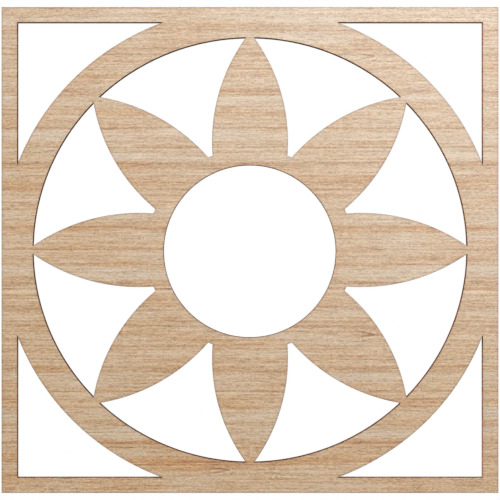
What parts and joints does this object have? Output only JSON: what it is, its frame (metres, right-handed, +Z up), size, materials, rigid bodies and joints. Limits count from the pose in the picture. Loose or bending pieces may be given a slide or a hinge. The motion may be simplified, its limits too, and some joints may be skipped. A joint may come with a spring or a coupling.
{
  "type": "ceiling medallion",
  "caption": "Flat pierced wooden ceiling medallion: a nearly square border frame round a ring, pointed leaf-shaped petals and a round centre opening for a light.",
  "frame": {"origin": "middle of the flat back face, in the plane of the ceiling that it is fixed to; the back is up and the decorated face looks down", "axes": "+Z up into the ceiling; +X along the board's longer side and the grain; +Y along the shorter side; seen from below with +X to the right, +Y runs down the picture"},
  "size_m": [0.4064, 0.3976, 0.0095],
  "materials": {
    "board_wood": "pale straight-grained wood, sanded and unvarnished, with dark scorched cut edges in the windows"
  },
  "bodies": {
    "root": {"medallion_board": "board_wood"}
  },
  "joints": []
}
